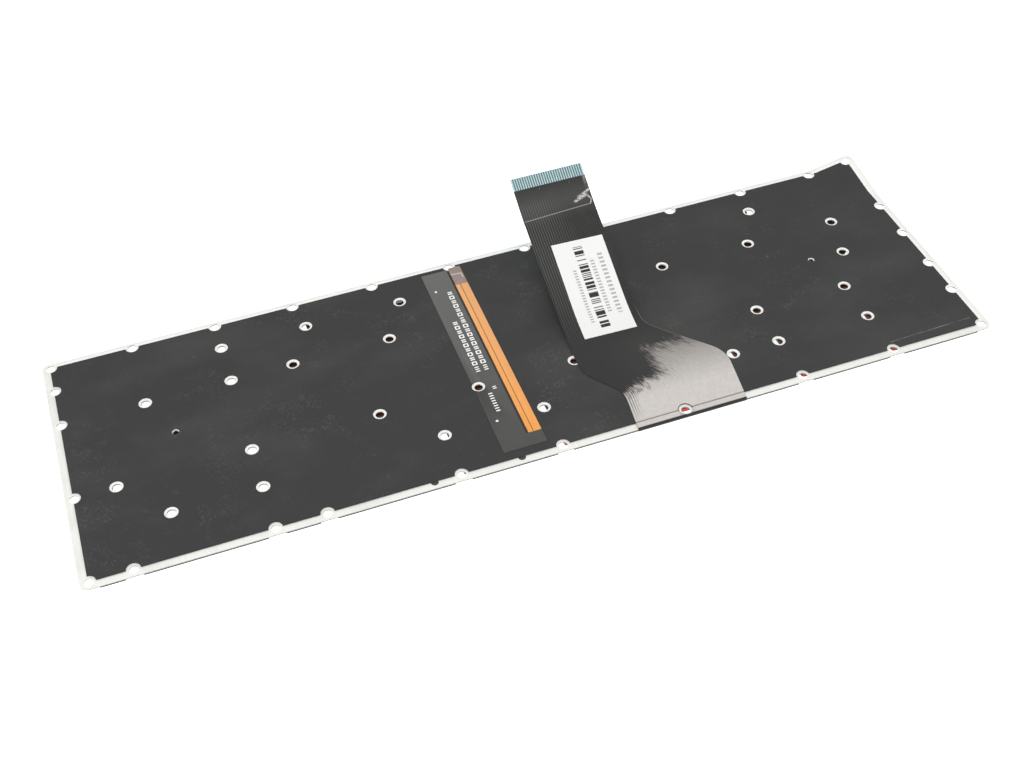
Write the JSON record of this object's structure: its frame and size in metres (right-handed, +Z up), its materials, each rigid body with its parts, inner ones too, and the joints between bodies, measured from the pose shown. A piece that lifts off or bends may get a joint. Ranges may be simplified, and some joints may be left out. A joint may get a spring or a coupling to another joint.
{
  "type": "laptop replacement keyboard",
  "caption": "Laptop replacement keyboard lying on its keys: plate with membrane, scissor keys, backlight strip and two flat tails on its back.",
  "frame": {"origin": "under the centre of the base plate, on the plane of the key tops that it lies on", "axes": "+Z up, out of the keyboard's back; +X along the space bar's edge, towards the Esc end; +Y from the space bar to the function row"},
  "size_m": [0.3461, 0.1158, 0.0362],
  "materials": {
    "plate": "fine brushed",
    "membrane": "glossy printed polyester",
    "light_guide": "white diffusing film",
    "back_film": "matt black polyester",
    "light_strip": "grey flexible board",
    "lamps": "clear resin",
    "light_tail": "orange polyimide film",
    "light_tail_cover": "brown film over the contacts",
    "stiffener": "pale blue-green polyester",
    "label": "white paper",
    "domes": "translucent silicone rubber",
    "links": "moulded white plastic",
    "keys": "matt black, painted over red"
  },
  "bodies": {
    "keyboard": {"base_plate": "plate", "membrane": "membrane", "light_guide": "light_guide", "back_film": "back_film", "light_strip": "light_strip", "side_lamps": "lamps", "light_tail": "light_tail", "light_tail_tip": "light_tail_cover", "tail_stiffener": "stiffener", "tail_label": "label", "rubber_domes": "domes", "scissor_outer_links": "links", "scissor_inner_links": "links", "function_row_keys": "keys", "number_pad_keys": "keys", "sign_and_control_keys": "keys"},
    "key_1": {"key_1": "keys"},
    "key_2": {"key_2": "keys"},
    "key_3": {"key_3": "keys"},
    "key_4": {"key_4": "keys"},
    "key_5": {"key_5": "keys"},
    "key_6": {"key_6": "keys"},
    "key_7": {"key_7": "keys"},
    "key_8": {"key_8": "keys"},
    "key_9": {"key_9": "keys"},
    "key_0": {"key_0": "keys"},
    "key_q": {"key_q": "keys"},
    "key_w": {"key_w": "keys"},
    "key_e": {"key_e": "keys"},
    "key_r": {"key_r": "keys"},
    "key_t": {"key_t": "keys"},
    "key_y": {"key_y": "keys"},
    "key_u": {"key_u": "keys"},
    "key_i": {"key_i": "keys"},
    "key_o": {"key_o": "keys"},
    "key_p": {"key_p": "keys"},
    "key_a": {"key_a": "keys"},
    "key_s": {"key_s": "keys"},
    "key_d": {"key_d": "keys"},
    "key_f": {"key_f": "keys"},
    "key_g": {"key_g": "keys"},
    "key_h": {"key_h": "keys"},
    "key_j": {"key_j": "keys"},
    "key_k": {"key_k": "keys"},
    "key_l": {"key_l": "keys"},
    "key_z": {"key_z": "keys"},
    "key_x": {"key_x": "keys"},
    "key_c": {"key_c": "keys"},
    "key_v": {"key_v": "keys"},
    "key_b": {"key_b": "keys"},
    "key_n": {"key_n": "keys"},
    "key_m": {"key_m": "keys"},
    "key_backspace": {"key_backspace": "keys"},
    "key_tab": {"key_tab": "keys"},
    "key_caps_lock": {"key_caps_lock": "keys"},
    "key_enter": {"key_enter": "keys"},
    "key_left_shift": {"key_left_shift": "keys"},
    "key_right_shift": {"key_right_shift": "keys"},
    "key_left_control": {"key_left_control": "keys"},
    "key_space": {"key_space": "keys"}
  },
  "joints": [
    {"name": "key_1_press", "type": "slide", "parent": "keyboard", "child": "key_1", "axis": [0, 0, 1], "range_m": [0, 0.0015], "stiffness_N_per_m": 300, "springref_m": -0.001, "deforming": ["rubber_domes", "scissor_outer_links", "scissor_inner_links"]},
    {"name": "key_2_press", "type": "slide", "parent": "keyboard", "child": "key_2", "axis": [0, 0, 1], "range_m": [0, 0.0015], "stiffness_N_per_m": 300, "springref_m": -0.001, "deforming": ["rubber_domes", "scissor_outer_links", "scissor_inner_links"]},
    {"name": "key_3_press", "type": "slide", "parent": "keyboard", "child": "key_3", "axis": [0, 0, 1], "range_m": [0, 0.0015], "stiffness_N_per_m": 300, "springref_m": -0.001, "deforming": ["rubber_domes", "scissor_outer_links", "scissor_inner_links"]},
    {"name": "key_4_press", "type": "slide", "parent": "keyboard", "child": "key_4", "axis": [0, 0, 1], "range_m": [0, 0.0015], "stiffness_N_per_m": 300, "springref_m": -0.001, "deforming": ["rubber_domes", "scissor_outer_links", "scissor_inner_links"]},
    {"name": "key_5_press", "type": "slide", "parent": "keyboard", "child": "key_5", "axis": [0, 0, 1], "range_m": [0, 0.0015], "stiffness_N_per_m": 300, "springref_m": -0.001, "deforming": ["rubber_domes", "scissor_outer_links", "scissor_inner_links"]},
    {"name": "key_6_press", "type": "slide", "parent": "keyboard", "child": "key_6", "axis": [0, 0, 1], "range_m": [0, 0.0015], "stiffness_N_per_m": 300, "springref_m": -0.001, "deforming": ["rubber_domes", "scissor_outer_links", "scissor_inner_links"]},
    {"name": "key_7_press", "type": "slide", "parent": "keyboard", "child": "key_7", "axis": [0, 0, 1], "range_m": [0, 0.0015], "stiffness_N_per_m": 300, "springref_m": -0.001, "deforming": ["rubber_domes", "scissor_outer_links", "scissor_inner_links"]},
    {"name": "key_8_press", "type": "slide", "parent": "keyboard", "child": "key_8", "axis": [0, 0, 1], "range_m": [0, 0.0015], "stiffness_N_per_m": 300, "springref_m": -0.001, "deforming": ["rubber_domes", "scissor_outer_links", "scissor_inner_links"]},
    {"name": "key_9_press", "type": "slide", "parent": "keyboard", "child": "key_9", "axis": [0, 0, 1], "range_m": [0, 0.0015], "stiffness_N_per_m": 300, "springref_m": -0.001, "deforming": ["rubber_domes", "scissor_outer_links", "scissor_inner_links"]},
    {"name": "key_0_press", "type": "slide", "parent": "keyboard", "child": "key_0", "axis": [0, 0, 1], "range_m": [0, 0.0015], "stiffness_N_per_m": 300, "springref_m": -0.001, "deforming": ["rubber_domes", "scissor_outer_links", "scissor_inner_links"]},
    {"name": "key_q_press", "type": "slide", "parent": "keyboard", "child": "key_q", "axis": [0, 0, 1], "range_m": [0, 0.0015], "stiffness_N_per_m": 300, "springref_m": -0.001, "deforming": ["rubber_domes", "scissor_outer_links", "scissor_inner_links"]},
    {"name": "key_w_press", "type": "slide", "parent": "keyboard", "child": "key_w", "axis": [0, 0, 1], "range_m": [0, 0.0015], "stiffness_N_per_m": 300, "springref_m": -0.001, "deforming": ["rubber_domes", "scissor_outer_links", "scissor_inner_links"]},
    {"name": "key_e_press", "type": "slide", "parent": "keyboard", "child": "key_e", "axis": [0, 0, 1], "range_m": [0, 0.0015], "stiffness_N_per_m": 300, "springref_m": -0.001, "deforming": ["rubber_domes", "scissor_outer_links", "scissor_inner_links"]},
    {"name": "key_r_press", "type": "slide", "parent": "keyboard", "child": "key_r", "axis": [0, 0, 1], "range_m": [0, 0.0015], "stiffness_N_per_m": 300, "springref_m": -0.001, "deforming": ["rubber_domes", "scissor_outer_links", "scissor_inner_links"]},
    {"name": "key_t_press", "type": "slide", "parent": "keyboard", "child": "key_t", "axis": [0, 0, 1], "range_m": [0, 0.0015], "stiffness_N_per_m": 300, "springref_m": -0.001, "deforming": ["rubber_domes", "scissor_outer_links", "scissor_inner_links"]},
    {"name": "key_y_press", "type": "slide", "parent": "keyboard", "child": "key_y", "axis": [0, 0, 1], "range_m": [0, 0.0015], "stiffness_N_per_m": 300, "springref_m": -0.001, "deforming": ["rubber_domes", "scissor_outer_links", "scissor_inner_links"]},
    {"name": "key_u_press", "type": "slide", "parent": "keyboard", "child": "key_u", "axis": [0, 0, 1], "range_m": [0, 0.0015], "stiffness_N_per_m": 300, "springref_m": -0.001, "deforming": ["rubber_domes", "scissor_outer_links", "scissor_inner_links"]},
    {"name": "key_i_press", "type": "slide", "parent": "keyboard", "child": "key_i", "axis": [0, 0, 1], "range_m": [0, 0.0015], "stiffness_N_per_m": 300, "springref_m": -0.001, "deforming": ["rubber_domes", "scissor_outer_links", "scissor_inner_links"]},
    {"name": "key_o_press", "type": "slide", "parent": "keyboard", "child": "key_o", "axis": [0, 0, 1], "range_m": [0, 0.0015], "stiffness_N_per_m": 300, "springref_m": -0.001, "deforming": ["rubber_domes", "scissor_outer_links", "scissor_inner_links"]},
    {"name": "key_p_press", "type": "slide", "parent": "keyboard", "child": "key_p", "axis": [0, 0, 1], "range_m": [0, 0.0015], "stiffness_N_per_m": 300, "springref_m": -0.001, "deforming": ["rubber_domes", "scissor_outer_links", "scissor_inner_links"]},
    {"name": "key_a_press", "type": "slide", "parent": "keyboard", "child": "key_a", "axis": [0, 0, 1], "range_m": [0, 0.0015], "stiffness_N_per_m": 300, "springref_m": -0.001, "deforming": ["rubber_domes", "scissor_outer_links", "scissor_inner_links"]},
    {"name": "key_s_press", "type": "slide", "parent": "keyboard", "child": "key_s", "axis": [0, 0, 1], "range_m": [0, 0.0015], "stiffness_N_per_m": 300, "springref_m": -0.001, "deforming": ["rubber_domes", "scissor_outer_links", "scissor_inner_links"]},
    {"name": "key_d_press", "type": "slide", "parent": "keyboard", "child": "key_d", "axis": [0, 0, 1], "range_m": [0, 0.0015], "stiffness_N_per_m": 300, "springref_m": -0.001, "deforming": ["rubber_domes", "scissor_outer_links", "scissor_inner_links"]},
    {"name": "key_f_press", "type": "slide", "parent": "keyboard", "child": "key_f", "axis": [0, 0, 1], "range_m": [0, 0.0015], "stiffness_N_per_m": 300, "springref_m": -0.001, "deforming": ["rubber_domes", "scissor_outer_links", "scissor_inner_links"]},
    {"name": "key_g_press", "type": "slide", "parent": "keyboard", "child": "key_g", "axis": [0, 0, 1], "range_m": [0, 0.0015], "stiffness_N_per_m": 300, "springref_m": -0.001, "deforming": ["rubber_domes", "scissor_outer_links", "scissor_inner_links"]},
    {"name": "key_h_press", "type": "slide", "parent": "keyboard", "child": "key_h", "axis": [0, 0, 1], "range_m": [0, 0.0015], "stiffness_N_per_m": 300, "springref_m": -0.001, "deforming": ["rubber_domes", "scissor_outer_links", "scissor_inner_links"]},
    {"name": "key_j_press", "type": "slide", "parent": "keyboard", "child": "key_j", "axis": [0, 0, 1], "range_m": [0, 0.0015], "stiffness_N_per_m": 300, "springref_m": -0.001, "deforming": ["rubber_domes", "scissor_outer_links", "scissor_inner_links"]},
    {"name": "key_k_press", "type": "slide", "parent": "keyboard", "child": "key_k", "axis": [0, 0, 1], "range_m": [0, 0.0015], "stiffness_N_per_m": 300, "springref_m": -0.001, "deforming": ["rubber_domes", "scissor_outer_links", "scissor_inner_links"]},
    {"name": "key_l_press", "type": "slide", "parent": "keyboard", "child": "key_l", "axis": [0, 0, 1], "range_m": [0, 0.0015], "stiffness_N_per_m": 300, "springref_m": -0.001, "deforming": ["rubber_domes", "scissor_outer_links", "scissor_inner_links"]},
    {"name": "key_z_press", "type": "slide", "parent": "keyboard", "child": "key_z", "axis": [0, 0, 1], "range_m": [0, 0.0015], "stiffness_N_per_m": 300, "springref_m": -0.001, "deforming": ["rubber_domes", "scissor_outer_links", "scissor_inner_links"]},
    {"name": "key_x_press", "type": "slide", "parent": "keyboard", "child": "key_x", "axis": [0, 0, 1], "range_m": [0, 0.0015], "stiffness_N_per_m": 300, "springref_m": -0.001, "deforming": ["rubber_domes", "scissor_outer_links", "scissor_inner_links"]},
    {"name": "key_c_press", "type": "slide", "parent": "keyboard", "child": "key_c", "axis": [0, 0, 1], "range_m": [0, 0.0015], "stiffness_N_per_m": 300, "springref_m": -0.001, "deforming": ["rubber_domes", "scissor_outer_links", "scissor_inner_links"]},
    {"name": "key_v_press", "type": "slide", "parent": "keyboard", "child": "key_v", "axis": [0, 0, 1], "range_m": [0, 0.0015], "stiffness_N_per_m": 300, "springref_m": -0.001, "deforming": ["rubber_domes", "scissor_outer_links", "scissor_inner_links"]},
    {"name": "key_b_press", "type": "slide", "parent": "keyboard", "child": "key_b", "axis": [0, 0, 1], "range_m": [0, 0.0015], "stiffness_N_per_m": 300, "springref_m": -0.001, "deforming": ["rubber_domes", "scissor_outer_links", "scissor_inner_links"]},
    {"name": "key_n_press", "type": "slide", "parent": "keyboard", "child": "key_n", "axis": [0, 0, 1], "range_m": [0, 0.0015], "stiffness_N_per_m": 300, "springref_m": -0.001, "deforming": ["rubber_domes", "scissor_outer_links", "scissor_inner_links"]},
    {"name": "key_m_press", "type": "slide", "parent": "keyboard", "child": "key_m", "axis": [0, 0, 1], "range_m": [0, 0.0015], "stiffness_N_per_m": 300, "springref_m": -0.001, "deforming": ["rubber_domes", "scissor_outer_links", "scissor_inner_links"]},
    {"name": "key_backspace_press", "type": "slide", "parent": "keyboard", "child": "key_backspace", "axis": [0, 0, 1], "range_m": [0, 0.0015], "stiffness_N_per_m": 300, "springref_m": -0.001, "deforming": ["rubber_domes", "scissor_outer_links", "scissor_inner_links"]},
    {"name": "key_tab_press", "type": "slide", "parent": "keyboard", "child": "key_tab", "axis": [0, 0, 1], "range_m": [0, 0.0015], "stiffness_N_per_m": 300, "springref_m": -0.001, "deforming": ["rubber_domes", "scissor_outer_links", "scissor_inner_links"]},
    {"name": "key_caps_lock_press", "type": "slide", "parent": "keyboard", "child": "key_caps_lock", "axis": [0, 0, 1], "range_m": [0, 0.0015], "stiffness_N_per_m": 300, "springref_m": -0.001, "deforming": ["rubber_domes", "scissor_outer_links", "scissor_inner_links"]},
    {"name": "key_enter_press", "type": "slide", "parent": "keyboard", "child": "key_enter", "axis": [0, 0, 1], "range_m": [0, 0.0015], "stiffness_N_per_m": 300, "springref_m": -0.001, "deforming": ["rubber_domes", "scissor_outer_links", "scissor_inner_links"]},
    {"name": "key_left_shift_press", "type": "slide", "parent": "keyboard", "child": "key_left_shift", "axis": [0, 0, 1], "range_m": [0, 0.0015], "stiffness_N_per_m": 300, "springref_m": -0.001, "deforming": ["rubber_domes", "scissor_outer_links", "scissor_inner_links"]},
    {"name": "key_right_shift_press", "type": "slide", "parent": "keyboard", "child": "key_right_shift", "axis": [0, 0, 1], "range_m": [0, 0.0015], "stiffness_N_per_m": 300, "springref_m": -0.001, "deforming": ["rubber_domes", "scissor_outer_links", "scissor_inner_links"]},
    {"name": "key_left_control_press", "type": "slide", "parent": "keyboard", "child": "key_left_control", "axis": [0, 0, 1], "range_m": [0, 0.0015], "stiffness_N_per_m": 300, "springref_m": -0.001, "deforming": ["rubber_domes", "scissor_outer_links", "scissor_inner_links"]},
    {"name": "key_space_press", "type": "slide", "parent": "keyboard", "child": "key_space", "axis": [0, 0, 1], "range_m": [0, 0.0015], "stiffness_N_per_m": 300, "springref_m": -0.001, "deforming": ["rubber_domes", "scissor_outer_links", "scissor_inner_links"]}
  ]
}
